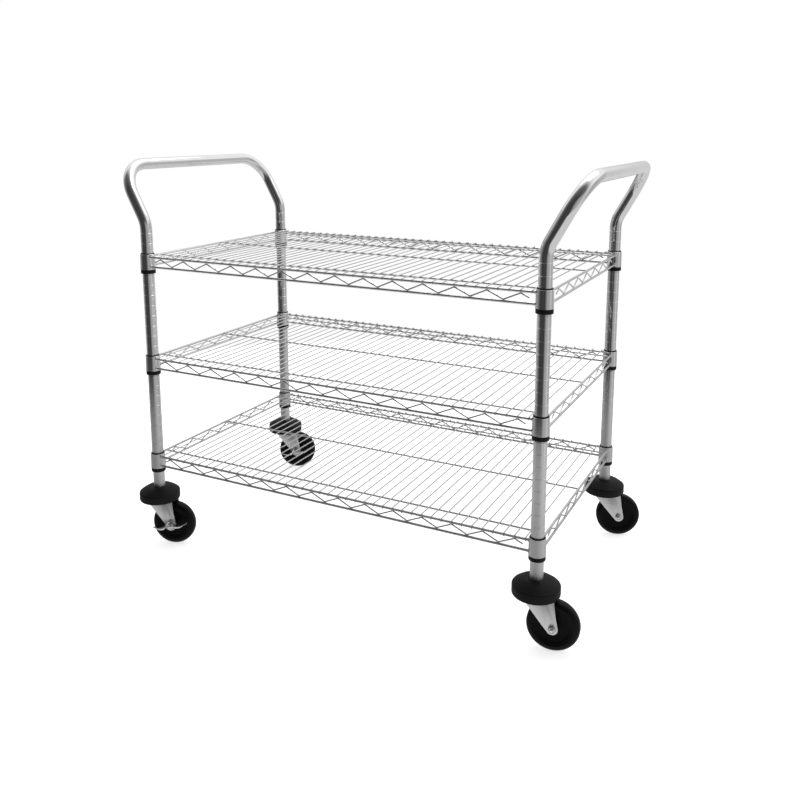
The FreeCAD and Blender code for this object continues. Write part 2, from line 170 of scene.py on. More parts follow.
# the last four set the painted shade low on the chrome: its heights, its added roughness and how far it darkens
# the plating
chromeLook = {"tube": 0.86, "collar": 0.84, "wire": 0.70, "gloss": 0.03, "haze": 0.05,
              "filmFrom": 0.50, "filmTo": 0.24, "film": 0.42, "dulled": 0.92}


def chromeFinish(name, shade, gloss, haze, along=(1, 1, 0.06)):
    # drawn and plated metal: faint lines along the draw, cloudy polish, a few dull spots,
    # and a painted shade with a rougher haze that thickens towards the floor
    finish = Finish(name, metallic=1.0)
    lines = finish.noise(900, along, 2.0)
    cloud = finish.noise(24, (1, 1, 0.5), 3.0)
    spots = finish.ramp(finish.noise(260, (1, 1, 1), 4.0), [(0.62, 0.0), (0.74, 1.0)])
    # painted shade: a mask rising towards the floor that darkens and roughens the plating
    film = finish.ramp(finish.height() + cloud * 0.05 - 0.025,
                       [(chromeLook["filmTo"], 1.0), (chromeLook["filmFrom"], 0.0)])
    plated = finish.tint(cloud, grey(shade * 0.93), grey(shade * 1.05))
    # painted shade: the plating made darker low down
    worn = shade * chromeLook["dulled"]
    dulled = finish.tint(cloud, grey(worn * 0.93), grey(worn))
    finish.set(baseColor=finish.tint(film, plated, dulled),
               roughness=gloss + lines * haze + spots * (haze * 1.6) + film * chromeLook["film"],
               normal=finish.bump(cloud + lines * 0.02, 0.4 * mm, 0.25))
    return finish.material


zincLook = {"shade": 0.92, "roughness": 0.36, "grain": 0.14}


def zincFinish():
    # pressed steel under zinc: satin, softly mottled, with fine rolling lines
    finish = Finish("satinZinc", metallic=1.0)
    mottle = finish.noise(90, (1, 1, 1), 5.0, 0.6)
    rolled = finish.noise(1400, (0.08, 1, 1), 2.0)
    scuffs = finish.ramp(finish.noise(380, (1, 1, 0.25), 6.0, 0.7), [(0.60, 0.0), (0.70, 1.0)])
    shade = zincLook["shade"]
    finish.set(baseColor=finish.tint(mottle, grey(shade * 0.86), grey(shade * 1.12)),
               roughness=zincLook["roughness"] + mottle * zincLook["grain"] + scuffs * 0.10,
               normal=finish.bump(rolled * 0.3 + mottle, 0.15 * mm, 0.35))
    return finish.material


boltLook = {"shade": 0.90, "roughness": 0.10}


def boltFinish():
    finish = Finish("brightBolt", metallic=1.0)
    tooling = finish.noise(1800, (1, 0.1, 1), 2.0)
    worn = finish.noise(160, (1, 1, 1), 4.0)
    shade = boltLook["shade"]
    finish.set(baseColor=finish.tint(worn, grey(shade * 0.8), grey(shade * 1.1)),
               roughness=boltLook["roughness"] + tooling * 0.12 + worn * 0.08,
               normal=finish.bump(tooling, 0.05 * mm, 0.4))
    return finish.material


steelLook = {"shade": 0.42, "roughness": 0.30}


def steelFinish():
    finish = Finish("turnedSteel", metallic=1.0)
    rings = finish.noise(1500, (0.1, 0.1, 1), 2.0)
    shade = steelLook["shade"]
    finish.set(baseColor=finish.tint(rings, grey(shade * 0.85), grey(shade * 1.15)),
               roughness=steelLook["roughness"] + rings * 0.15,
               normal=finish.bump(rings, 0.05 * mm, 0.4))
    return finish.material


blackLook = {
    "blackPlastic": {"shade": 0.004, "light": 0.008, "roughness": 0.42,
                     "grain": 900, "depth": 0.05, "glint": 0.20},
    "bumperRubber": {"shade": 0.005, "light": 0.009, "roughness": 0.50,
                     "grain": 700, "depth": 0.06, "glint": 0.16},
    "tyreRubber": {"shade": 0.002, "light": 0.005, "roughness": 0.36,
                   "grain": 1100, "depth": 0.03, "glint": 0.14},
    "hubPlastic": {"shade": 0.002, "light": 0.005, "roughness": 0.46,
                   "grain": 800, "depth": 0.04, "glint": 0.12},
}


def blackFinish(name):
    # moulded black: even colour with a bloom, a fine texture and a few rubbed places
    look = blackLook[name]
    finish = Finish(name, metallic=0.0)
    grain = finish.noise(look["grain"], (1, 1, 1), 2.0)
    bloom = finish.noise(35, (1, 1, 1), 4.0)
    rubbed = finish.ramp(finish.noise(120, (1, 1, 1), 5.0, 0.65), [(0.58, 0.0), (0.72, 1.0)])
    finish.set(baseColor=finish.tint(bloom + rubbed * 0.3, grey(look["shade"]), grey(look["light"])),
               roughness=look["roughness"] + bloom * 0.12 - rubbed * 0.10,
               normal=finish.bump(grain, look["depth"] * mm, 0.5))
    finish.glint(look["glint"])
    return finish.material


finishes = {
    "chrome_tube": chromeFinish("tubeChrome", chromeLook["tube"], chromeLook["gloss"], chromeLook["haze"]),
    "chrome_collar": chromeFinish("collarChrome", chromeLook["collar"], 0.08, 0.07, (1, 1, 0.2)),
    "chrome_wire": chromeFinish("wireChrome", chromeLook["wire"], 0.14, 0.10, (0.2, 0.2, 1)),
    "zinc_plate": zincFinish(),
    "insert_steel": steelFinish(),
    "bolt_steel": boltFinish(),
    "black_plastic": blackFinish("blackPlastic"),
    "black_rubber": blackFinish("bumperRubber"),
    "wheel_plastic": blackFinish("hubPlastic"),
    "tyre_rubber": blackFinish("tyreRubber"),
}
slotOf = {part["node"]: part["material_slot"] for part in record["subparts"]}
bodyOf = {node: body for body, nodes in record["behaviour"]["bodies"].items() for node in nodes}
for node, shape in frame["nodes"].items():
    shape.data.materials.clear()
    shape.data.materials.append(finishes[slotOf[node]])
print("finishes made:", len(finishes))


def deselect():
    if bpy.context.object and bpy.context.object.mode != "OBJECT":
        bpy.ops.object.mode_set(mode="OBJECT")
    bpy.ops.object.select_all(action="DESELECT")


def edit():
    bpy.ops.object.mode_set(mode="EDIT")
    bpy.ops.mesh.select_all(action="SELECT")


def extrude(move):
    bpy.ops.mesh.extrude_region_move(TRANSFORM_OT_translate={"value": tuple(move)})


def resize(factor, centre):
    bpy.ops.transform.resize(value=(factor, factor, 1), center_override=tuple(centre))


def closeUp(merge=0.01 * mm):
    # weld what meets, cap what is open and turn every face outwards
    bpy.ops.mesh.select_all(action="SELECT")
    bpy.ops.mesh.remove_doubles(threshold=merge)
    bpy.ops.mesh.fill_holes(sides=0)
    bpy.ops.mesh.normals_make_consistent(inside=False)
    bpy.ops.object.mode_set(mode="OBJECT")
    return bpy.context.object


def settle(piece):
    bpy.ops.object.transform_apply(location=True, rotation=True, scale=True)
    return piece


def modify(piece, kind, **settings):
    made = piece.modifiers.new(kind.title(), kind)
    for key, value in settings.items():
        setattr(made, key, value)
    bpy.ops.object.modifier_apply(modifier=made.name)
    return piece


def copyOf(piece, move=(0, 0, 0)):
    deselect()
    piece.select_set(True)
    bpy.context.view_layer.objects.active = piece
    bpy.ops.object.duplicate(linked=False)
    twin = bpy.context.object
    twin.location = Vector(move)
    return settle(twin)


def seated(piece, corner):
    # a copy of a piece drawn about its own stem, set under its post and turned with it
    twin = copyOf(piece)
    twin.location = postAt[corner]
    twin.rotation_euler = (0, 0, turnOf[corner])
    return settle(twin)


def join(pieces):
    deselect()
    for piece in pieces:
        piece.select_set(True)
    bpy.context.view_layer.objects.active = pieces[0]
    bpy.ops.object.join()
    return bpy.context.object


def hand(piece, name, *nodes, angle=35):
    # name the finished piece, give it its finish and let it stand for its nodes
    deselect()
    piece.select_set(True)
    bpy.context.view_layer.objects.active = piece
    bpy.ops.object.shade_smooth_by_angle(angle=math.radians(angle))
    piece.name = name
    piece.data.name = name
    piece.data.materials.clear()
    piece.data.materials.append(finishes[slotOf[nodes[0]]])
    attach(piece, bodyOf[nodes[0]])
    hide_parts(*nodes)
    return piece


def drawTube(start, heading, radius, moves, sides=12):
    # a ring carried along runs and bends; a bend is (angle, radius, towards)
    deselect()
    heading = Vector(heading).normalized()
    spot = Vector(start)
    turn = heading.to_track_quat("Z", "Y").to_euler()
    bpy.ops.mesh.primitive_circle_add(vertices=sides, radius=radius, location=spot, rotation=turn)
    settle(bpy.context.object)
    edit()
    for move in moves:
        if isinstance(move, tuple):
            angle, bend, towards = move
            inward = (towards - heading * towards.dot(heading)).normalized()
            axis = heading.cross(inward)
            centre = spot + inward * bend
            steps = max(3, round(math.degrees(angle) / 7))
            # spin turns left-handed about its axis
            bpy.ops.mesh.spin(steps=steps, angle=-angle, center=centre, axis=axis)
            swing = Quaternion(axis, angle)
            spot = centre + swing @ (spot - centre)
            heading = swing @ heading
        else:
            extrude(heading * move)
            spot = spot + heading * move
    return closeUp()


def turnProfile(profile, sides=48):
    # a ring drawn at the first (radius, height) and extruded from point to point
    deselect()
    radius, height = profile[0]
    bpy.ops.mesh.primitive_circle_add(vertices=sides, radius=radius, location=(0, 0, height))
    settle(bpy.context.object)
    edit()
    for nextRadius, nextHeight in profile[1:]:
        extrude((0, 0, nextHeight - height))
        resize(nextRadius / radius, (0, 0, nextHeight))
        radius, height = nextRadius, nextHeight
    return closeUp()


def moved(piece, spot, turn=(0, 0, 0)):
    piece.location = Vector(spot)
    piece.rotation_euler = turn
    return settle(piece)


def cutPlate(outline, near, thickness):
    # a point walked round an outline in the XZ plane, filled and thickened along Y
    deselect()
    x, z = outline[0]
    bpy.ops.mesh.primitive_plane_add(size=mm, location=(x, near, z))
    settle(bpy.context.object)
    edit()
    bpy.ops.mesh.merge(type="CENTER")
    for nextX, nextZ in outline[1:]:
        extrude((nextX - x, 0, nextZ - z))
        x, z = nextX, nextZ
    bpy.ops.mesh.select_all(action="SELECT")
    bpy.ops.mesh.edge_face_add()
    extrude((0, thickness, 0))
    return closeUp()


def softened(piece, width, segments=2):
    return modify(piece, "BEVEL", width=width, segments=segments, limit_method="ANGLE",
                  angle_limit=math.radians(30))


def sinkFace(piece, inset, depth):
    # press in the face that looks furthest towards -Y, inside an even border
    bpy.ops.object.mode_set(mode="EDIT")
    bpy.ops.mesh.select_mode(type="FACE")
    bpy.ops.mesh.select_all(action="DESELECT")
    bpy.ops.object.mode_set(mode="OBJECT")
    front = min(piece.data.polygons, key=lambda face: (round(face.center.y, 5), -face.area))
    front.select = True
    bpy.ops.object.mode_set(mode="EDIT")
    bpy.ops.mesh.inset(thickness=inset)
    extrude((0, depth, 0))
    bpy.ops.mesh.select_mode(type="VERT")
    bpy.ops.object.mode_set(mode="OBJECT")
    return piece


def arcPoints(middle, radius, first, last, steps):
    # (radius, height) points on an arc, for the rounded parts of a profile
    points = []
    for i in range(steps + 1):
        angle = math.radians(first + (last - first) * i / steps)
        points.append((middle[0] + radius * math.cos(angle), middle[1] + radius * math.sin(angle)))
    return points


# end frames: two grooved posts, leaning legs and the push bar in one bent tube

endFrame = {
    "sides": 56,
    "grooveDepth": 0.45 * mm,
    "grooveWidth": 1.8 * mm,
    "groovePitch": 25.4 * mm,
    "firstGroove": 23 * mm,      # above the foot of the lowest sleeve
    "leanStart": 822.5 * mm,
    "leanBend": 70 * mm,
    "handleBend": 80 * mm,
}


def grooveMoves(foot, top):
    # heights and radii along a post, with a shallow rounded groove at every pitch
    half = endFrame["grooveWidth"] / 2
    level = shelfLow["bottom"] + endFrame["firstGroove"]
    points = [(tubeRadius, foot)]
    while level < top - half:
        deep = tubeRadius - endFrame["grooveDepth"]
        points += [(tubeRadius, level - half), (deep, level - half * 0.45),
                   (deep, level + half * 0.45), (tubeRadius, level + half)]
        level += endFrame["groovePitch"]
    return points + [(tubeRadius, top)]


def makeEndFrame(end):
    node = end + "_end_frame"
    post = postAt["front_" + end]
    bar = Vector(mounts[end + "_push_bar"]["pos_m"])
    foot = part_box(node)[0].z
    lean = Vector((bar.x - post.x, 0, bar.z - endFrame["leanStart"]))
    angle = lean.angle(up)
    leanSetback = endFrame["leanBend"] * math.tan(angle / 2)
    handleSetback = endFrame["handleBend"]
    straightEnd = endFrame["leanStart"] - leanSetback
    deselect()
    bpy.ops.mesh.primitive_circle_add(vertices=endFrame["sides"], radius=tubeRadius,
                                      location=(post.x, post.y, foot))
    settle(bpy.context.object)
    edit()
    points = grooveMoves(foot, straightEnd)
    for (lastRadius, lastHeight), (radius, height) in zip(points, points[1:]):
        extrude((0, 0, height - lastHeight))
        resize(radius / lastRadius, (post.x, post.y, height))
    outward = Vector((math.copysign(1, post.x), 0, 0))
    corner = Vector((post.x, post.y, straightEnd))
    bpy.ops.mesh.spin(steps=10, angle=-angle, center=corner + outward * endFrame["leanBend"],
                      axis=up.cross(outward))
    extrude(lean.normalized() * (lean.length - leanSetback - handleSetback))
    inward = Vector((0, 1, 0))
    turnAt = Vector((bar.x, post.y, bar.z)) - lean.normalized() * handleSetback
    bpy.ops.mesh.spin(steps=18, angle=-math.pi / 2, center=turnAt + inward * endFrame["handleBend"],
                      axis=lean.normalized().cross(inward))
    extrude((0, -(post.y + endFrame["handleBend"]), 0))
    bpy.ops.object.mode_set(mode="OBJECT")
    tube = bpy.context.object
    modify(tube, "MIRROR", use_axis=(False, True, False), use_mirror_merge=True,
           merge_threshold=0.05 * mm)
    edit()
    hand(closeUp(), end + "EndFrame", node, angle=20)


for end in ("left", "right"):
    makeEndFrame(end)
print("end frames bent")


wires = {
    "rim": 2.75 * mm,
    "snake": 1.6 * mm,
    "deck": 1.4 * mm,
    "rib": 2.0 * mm,
    "snakePitch": 69.8 * mm,
    "snakeBend": 4.0 * mm,
    "longPeaks": 14,
    "shortPeaks": 7,
    "deckWires": 42,
    "curl": 115,
}
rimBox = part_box("bottom_shelf_rim_wires")
rimLine = Vector((rimBox[1].x - wires["rim"], rimBox[1].y - wires["rim"], 0))
rimHeights = (rimBox[0].z + wires["rim"], rimBox[1].z - wires["rim"])
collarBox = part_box("bottom_shelf_corner_collars")


def rimWires():
    # two wires to a side, each run from inside one collar's wall to the next
    inset = Vector((collarBox[1].x, collarBox[1].y, 0)) - postAt["back_right"]
    rods = []
    for height in rimHeights:
        for side in (-1, 1):
            x = postAt["back_right"].x - inset.x + 1 * mm
            y = postAt["back_right"].y - inset.y + 1 * mm
            rods.append(drawTube((-x, side * rimLine.y, height), (1, 0, 0), wires["rim"],
                                 [x, x], 14))
            rods.append(drawTube((side * rimLine.x, -y, height), (0, 1, 0), wires["rim"],
                                 [y, y], 14))
    return join(rods)


def snakeWire(peaks, along, across):
    # a zigzag that rises and falls between the rim wires, bent round at every weld
    touch = wires["rim"] + wires["snake"]
    low, high = rimHeights[0] + touch, rimHeights[1] - touch
    half = wires["snakePitch"] / 2
    slope = math.atan2(high - low, half)
    # the bends eat into the corners, so the corners stand a little proud of the welds
    proud = wires["snakeBend"] * (1 / math.cos(slope) - 1)
    slope = math.atan2(high - low + 2 * proud, half)
    setback = wires["snakeBend"] * math.tan(slope)
    leg = math.hypot(half, high - low + 2 * proud)
    rise = along * math.cos(slope) + up * math.sin(slope)
    start = across - along * (half * (peaks - 1)) + up * (high + proud) - rise * (leg / 2)
    moves = [leg / 2 - setback]
    for i in range(2 * peaks - 1):
        towards = -up if i % 2 == 0 else up
        moves += [(2 * slope, wires["snakeBend"], towards), leg - 2 * setback]
    moves[-1] = leg / 2 - setback
    return drawTube(start, rise, wires["snake"], moves, 10)


def trussWires():
    sides = []
    for side in (-1, 1):
        sides.append(snakeWire(wires["longPeaks"], Vector((1, 0, 0)), Vector((0, side * rimLine.y, 0))))
        sides.append(snakeWire(wires["shortPeaks"], Vector((0, 1, 0)), Vector((side * rimLine.x, 0, 0))))
    return join(sides)


def deckWires():
    # one wire with its ends curled over the rims, then a row of them
    low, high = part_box("bottom_shelf_deck_wires")
    wrap = math.radians(wires["curl"])
    curl = wires["rim"] + wires["deck"]
    first = low.x + wires["deck"]
    last = high.x - wires["deck"]
    centre = Vector((first, -rimLine.y, rimHeights[1]))
    radial = Vector((0, -math.sin(wrap), math.cos(wrap)))
    heading = Vector((0, math.cos(wrap), math.sin(wrap)))
    moves = [(wrap, curl, -radial), 2 * rimLine.y, (wrap, curl, -up)]
    wire = drawTube(centre + radial * curl, heading, wires["deck"], moves, 8)
    count = wires["deckWires"]
    modify(wire, "ARRAY", count=count, use_relative_offset=False, use_constant_offset=True,
           constant_offset_displace=((last - first) / (count - 1), 0, 0))
    return wire


def ribWires():
    low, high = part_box("bottom_shelf_ribs")
    reach = low.y + wires["rib"]
    height = low.z + wires["rib"]
    return join([drawTube((low.x, y, height), (1, 0, 0), wires["rib"], [-low.x, high.x], 12)
                 for y in (reach, 0, -reach)])


def onEachShelf(made, suffix, name, **settings):
    for shelf in shelves[1:]:
        twin = copyOf(made, (0, 0, shelfLow[shelf] - shelfLow["bottom"]))
        hand(twin, shelf + "Shelf" + name, shelf + "_shelf_" + suffix, **settings)
    hand(made, "bottomShelf" + name, "bottom_shelf_" + suffix, **settings)


onEachShelf(rimWires(), "rim_wires", "RimWires")
onEachShelf(trussWires(), "truss_wires", "TrussWires")
onEachShelf(deckWires(), "deck_wires", "DeckWires", angle=60)
onEachShelf(ribWires(), "ribs", "Ribs")
print("shelf wires drawn")


# corner collars with their weld beads, and the split sleeves inside them

collar = {"sides": 56, "wall": 1.6 * mm, "taper": 0.6 * mm, "lip": 0.5 * mm, "bead": 4.4 * mm}
sleeve = {"ringRadius": 17.6 * mm, "slot": 1.0 * mm, "round": 0.9 * mm}


def cornerCollars():
    low, high = collarBox[0].z, collarBox[1].z
    outer = collarBox[1].x - postAt["back_right"].x
    top = outer - collar["taper"]
    wall = collar["wall"]
    lip = collar["lip"]
    body = turnProfile([
        (outer - wall, low + lip), (outer - wall + lip, low), (outer - lip, low), (outer, low + lip),
        (top, high - lip), (top - lip, high), (top - wall + lip, high), (top - wall, high - lip),
        (outer - wall, low + lip)], collar["sides"])
    pieces = []
    for corner in corners:
        spot = postAt[corner]
        pieces.append(copyOf(body, spot))
        inward = Vector((-math.copysign(1, spot.x), -math.copysign(1, spot.y), 0))
        off = rimLine - Vector((abs(spot.x), abs(spot.y), 0))
        for height in rimHeights:
            reach = math.sqrt(outer ** 2 - off.x ** 2)
            pieces.append(weldBead((spot.x + inward.x * reach, spot.y - inward.y * off.y, height), 0))
            pieces.append(weldBead((spot.x - inward.x * off.x, spot.y + inward.y * reach, height), 1))
    bpy.data.objects.remove(body)
    return join(pieces)


def weldBead(spot, way):
    # a squashed ball where a rim wire runs into the collar
    deselect()
    bead = collar["bead"]
    bpy.ops.mesh.primitive_uv_sphere_add(segments=16, ring_count=10, radius=bead, location=spot)
    ball = bpy.context.object
    ball.scale = (0.55, 0.95, 0.9) if way == 0 else (0.95, 0.55, 0.9)
    return settle(ball)


def splitSleeves():
    low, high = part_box("bottom_shelf_split_sleeves")
    collarLow, collarHigh = collarBox[0].z, collarBox[1].z
    inner = collarBox[1].x - postAt["back_right"].x - collar["wall"] - 0.05 * mm
    innerTop = inner - collar["taper"]
    ringRadius, soft = sleeve["ringRadius"], sleeve["round"]
    bore = tubeRadius + 0.03 * mm
    whole = turnProfile([
        (bore, low.z + 0.4 * mm), (bore + 0.4 * mm, low.z),
        *arcPoints((ringRadius - soft, low.z + soft), soft, -90, 0, 4),
        *arcPoints((ringRadius - 0.4 * mm, collarLow - 0.45 * mm), 0.4 * mm, 0, 90, 3),
        (inner, collarLow - 0.05 * mm), (innerTop, collarHigh), (innerTop, high.z - 0.5 * mm),
        (innerTop - 0.5 * mm, high.z), (bore + 0.3 * mm, high.z), (bore, high.z - 0.3 * mm),
        (bore, low.z + 0.4 * mm)], collar["sides"])
    # cut back to one half with room for the slot, then mirrored
    edit()
    bpy.ops.mesh.bisect(plane_co=(sleeve["slot"] / 2, 0, 0), plane_no=(1, 0, 0),
                        use_fill=True, clear_inner=True)
    bpy.ops.object.mode_set(mode="OBJECT")
    modify(whole, "MIRROR", use_axis=(True, False, False), use_mirror_merge=False)
    edit()
    whole = closeUp()
    pieces = [copyOf(whole, postAt[corner]) for corner in corners]
    bpy.data.objects.remove(whole)
    return join(pieces)


onEachShelf(cornerCollars(), "corner_collars", "CornerCollars")
onEachShelf(splitSleeves(), "split_sleeves", "SplitSleeves")
print("collars and sleeves fitted")


bumper = {"sides": 72, "rimHeight": 22 * mm, "lowRound": 3.2 * mm, "highRound": 4 * mm,
          "recess": 40 * mm, "lip": 3 * mm}


def makeBumper():
    low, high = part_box("front_left_bumper")
    radius = (high.x - low.x) / 2
    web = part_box("left_end_frame")[0].z
    bore = tubeRadius + 0.03 * mm
    rimTop = low.z + bumper["rimHeight"]
    lowRound, highRound = bumper["lowRound"], bumper["highRound"]
    shoulder = radius - highRound
    # the crown is a shallow curve from the shoulder up to the lip round the post
    lipRadius = tubeRadius + bumper["lip"] + 3 * mm
    turnHigh = arcPoints((shoulder, rimTop - highRound), highRound, 0, 62, 6)
    crown = []
    for i in range(1, 9):
        share = i / 8
        fromRadius, fromHeight = turnHigh[-1]
        rise = high.z - fromHeight
        crown.append((fromRadius + (lipRadius - fromRadius) * share,
                      fromHeight + rise * math.sin(share * math.pi / 2)))
    return turnProfile([
        (bore, web), (bumper["recess"], web), (bumper["recess"], low.z + 1 * mm),
        (bumper["recess"] + 1 * mm, low.z),
        *arcPoints((radius - lowRound, low.z + lowRound), lowRound, -90, 0, 6),
        *turnHigh, *crown, (bore + 0.8 * mm, high.z), (bore, high.z - 0.8 * mm), (bore, web)],
        bumper["sides"])


modelBumper = makeBumper()
for corner in corners:
    hand(copyOf(modelBumper, postAt[corner]), corner + "Bumper", corner + "_bumper", angle=40)
bpy.data.objects.remove(modelBumper)
print("bumpers on")


# wheels: tyre and hub turned about the axle

wheel = {"sides": 96, "width": 28 * mm, "hubWidth": 35 * mm, "treadRound": 11 * mm, "lip": 1.5 * mm,
         "boss": 13 * mm, "web": 4 * mm}
lieDown = (math.pi / 2, 0, 0)
hubRadius = (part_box("front_left_wheel_hub")[1].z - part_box("front_left_wheel_hub")[0].z) / 2


def bothWays(half):
    # a profile given for the front of the wheel, carried on to the back and closed
    return turnProfile(half + [(r, -h) for r, h in reversed(half)] + [half[0]], wheel["sides"])


def onAxle(piece):
    return moved(piece, (trail, 0, axleHeight), lieDown)


def makeTyre():
    radius = axleHeight
    half = wheel["width"] / 2
    soft = wheel["treadRound"]
    lip = wheel["lip"]
    return onAxle(bothWays([
        (hubRadius, half - lip), *arcPoints((hubRadius + lip, half - lip), lip, 160, 90, 4),
        *arcPoints((radius - soft, half - soft), soft, 90, 0, 10)]))


def makeHub():
    half = wheel["hubWidth"] / 2
    rim = wheel["width"] / 2 - wheel["lip"]
    web = wheel["width"] / 2 - wheel["web"]
    boss = wheel["boss"]
    sleeveLow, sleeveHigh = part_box("front_left_axle_sleeve")
    bore = (sleeveHigh.z - sleeveLow.z) / 2 + 0.08 * mm
    return onAxle(bothWays([
        (bore, half - 0.5 * mm), (bore + 0.5 * mm, half), (boss - 0.6 * mm, half), (boss, half - 0.6 * mm),
        (boss + 0.8 * mm, web + 1 * mm), (boss + 2 * mm, web), (hubRadius - 7 * mm, web),
        (hubRadius - 5 * mm, web + 0.8 * mm), (hubRadius - 4 * mm, rim - 0.5 * mm),
        (hubRadius - 3 * mm, rim), (hubRadius - 0.05 * mm, rim)]))


modelTyre = makeTyre()
modelHub = makeHub()
for corner in corners:
    hand(seated(modelTyre, corner), corner + "Tyre", corner + "_tyre")
    hand(seated(modelHub, corner), corner + "WheelHub", corner + "_wheel_hub")
print("wheels on")


# forks: two creased legs under a crown plate

fork = {"gap": 38 * mm, "plate": 2.5 * mm, "eye": 12 * mm, "reach": 29 * mm, "below": 114.9 * mm,
        "back": (4.3 * mm, 75 * mm), "front": (43.4 * mm, 85 * mm), "shoulder": 39.5 * mm,
        "crease": 16 * mm, "creaseTurn": 5, "crown": 3 * mm, "edge": 0.45 * mm}


def makeFork():
    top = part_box("front_left_fork")[1].z
    side = fork["gap"] / 2 + fork["plate"]
    leg = cutPlate([
        (-fork["reach"], top - fork["plate"]), (-fork["reach"], fork["below"]), fork["back"],
        *arcPoints((trail, axleHeight), fork["eye"], 222, 371, 14),
        fork["front"], (fork["shoulder"], fork["below"]), (fork["reach"], fork["below"] + 2 * mm),
        (fork["reach"], top - fork["plate"])], -side, fork["plate"])
    # fold the part behind the crease a little inwards
    edit()
    bpy.ops.mesh.bisect(plane_co=(fork["crease"], 0, 0), plane_no=(1, 0, 0))
    bpy.ops.object.mode_set(mode="OBJECT")
    for corner in leg.data.vertices:
        corner.select = corner.co.x < fork["crease"] - 0.01 * mm
    bpy.ops.object.mode_set(mode="EDIT")
    bpy.ops.transform.rotate(value=math.radians(fork["creaseTurn"]), orient_axis="Z",
                             center_override=(fork["crease"], -side, 0))
    bpy.ops.object.mode_set(mode="OBJECT")
    softened(leg, fork["edge"])
    modify(leg, "MIRROR", use_axis=(False, True, False), use_mirror_merge=False)
    deselect()
    bpy.ops.mesh.primitive_cube_add(size=1, location=(0, 0, top - fork["crown"] / 2))
    plate = bpy.context.object
    plate.scale = (2 * fork["reach"], 2 * side, fork["crown"])
    softened(settle(plate), 1.2 * mm, 3)
    return join([leg, plate])


modelFork = makeFork()
for corner in corners:
    hand(seated(modelFork, corner), corner + "Fork", corner + "_fork", angle=32)
print("forks made")


# axle bolts, brake cams and brake levers

bolt = {"hex": 8.4 * mm, "thick": 5 * mm, "washer": 0.9 * mm, "shank": 4 * mm, "end": 1.5 * mm,
        "sink": 2.6 * mm, "border": 1.3 * mm}
brake = {"stack": 6.1 * mm, "cam": 2.5 * mm, "camRadius": 10.5 * mm, "gap": 0.3 * mm, "plate": 3 * mm,
         "tilt": 11, "length": 20 * mm, "height": 12 * mm, "flat": 5 * mm, "border": 2.2 * mm,
         "sink": 2.0 * mm, "wingDepth": 14 * mm, "wingTip": 0.4,
         "wing": [(13, 0.4, 3.4), (18, -0.9, 3.2), (24, -2.2, 2.7), (29, -1.8, 2.2), (35, 0.4, 1.6),
                  (41, 2.6, 1.1), (46, 3.7, 0.9)]}   # along, up and half thickness
legFace = fork["gap"] / 2 + fork["plate"]


def hexHead(near, thick):
    deselect()
    bpy.ops.mesh.primitive_cylinder_add(vertices=6, radius=bolt["hex"], depth=thick,
                                        location=(0, near + thick / 2, 0),
                                        rotation=(math.pi / 2, math.pi / 6, 0))
    return softened(settle(bpy.context.object), 0.5 * mm)


def stub(radius, near, far):
    deselect()
    bpy.ops.mesh.primitive_cylinder_add(vertices=32, radius=radius, depth=far - near,
                                        location=(0, (near + far) / 2, 0), rotation=lieDown)
    return softened(settle(bpy.context.object), 0.35 * mm)


def makeBolt(stack):
    # the nut stands on its washer in front, the head behind, the shank runs between
    face = -(legFace + stack)
    tall = bolt["thick"] - bolt["washer"]
    washerRadius = bolt["hex"] - 0.1 * mm
    nut = sinkFace(hexHead(face - bolt["thick"], tall), bolt["border"], bolt["sink"])
    pieces = [nut, stub(washerRadius, face - bolt["washer"], face),
              stub(bolt["shank"], face - bolt["thick"] - bolt["end"], legFace + 1 * mm),
              stub(washerRadius, legFace, legFace + bolt["washer"]),
              hexHead(legFace + bolt["washer"], tall)]
    return moved(join(pieces), (trail, 0, axleHeight))


def makeCam():
    radius, low, high = brake["camRadius"], legFace, legFace + brake["cam"]
    return onAxle(turnProfile([(bolt["shank"], low), (radius, low), (radius, high - 0.8 * mm),
                               (radius - 0.8 * mm, high), (bolt["shank"], high), (bolt["shank"], low)]))


def makeLever():
    face = -(legFace + brake["cam"] + brake["gap"])
    length, height, flat = brake["length"], brake["height"], brake["flat"]
    lozenge = cutPlate([(-length, 0), (-flat, -height), (flat, -height), (length, 0), (flat, height),
                        (-flat, height)], face - brake["plate"], brake["plate"])
    softened(sinkFace(lozenge, brake["border"], brake["sink"]), 0.4 * mm)
    middle = [(x * mm, z * mm, thick * mm) for x, z, thick in brake["wing"]]
    upper = [(x, z + thick) for x, z, thick in middle]
    lower = [(x, z - thick) for x, z, thick in reversed(middle)]
    wing = cutPlate(upper + lower, face - brake["wingDepth"], brake["wingDepth"])
    # narrow each wing towards its tip
    root, tip = middle[0][0], middle[-1][0]
    midway = face - brake["wingDepth"] / 2
    for corner in wing.data.vertices:
        share = (corner.co.x - root) / (tip - root)
        corner.co.y = midway + (corner.co.y - midway) * (1 - share * (1 - brake["wingTip"]))
    softened(wing, 0.5 * mm)
    modify(wing, "MIRROR", use_axis=(True, False, False), use_mirror_merge=False)
    return moved(join([lozenge, wing]), (trail, 0, axleHeight), (0, -math.radians(brake["tilt"]), 0))


modelCam = makeCam()
modelLever = makeLever()
for stack, held in ((0, corners[2:]), (brake["stack"], corners[:2])):
    modelBolt = makeBolt(stack)
    for corner in held:
        hand(seated(modelBolt, corner), corner + "AxleBolt", corner + "_axle_bolt")
    bpy.data.objects.remove(modelBolt)
for corner in corners[:2]:
    hand(seated(modelCam, corner), corner + "BrakeCam", corner + "_brake_cam")
    hand(seated(modelLever, corner), corner + "BrakeLever", corner + "_brake_lever")
for model in (modelTyre, modelHub, modelFork, modelCam, modelLever):
    bpy.data.objects.remove(model)
print("bolts and brakes on")


# studio: pale floor, a room for the chrome to mirror, one soft light and the camera

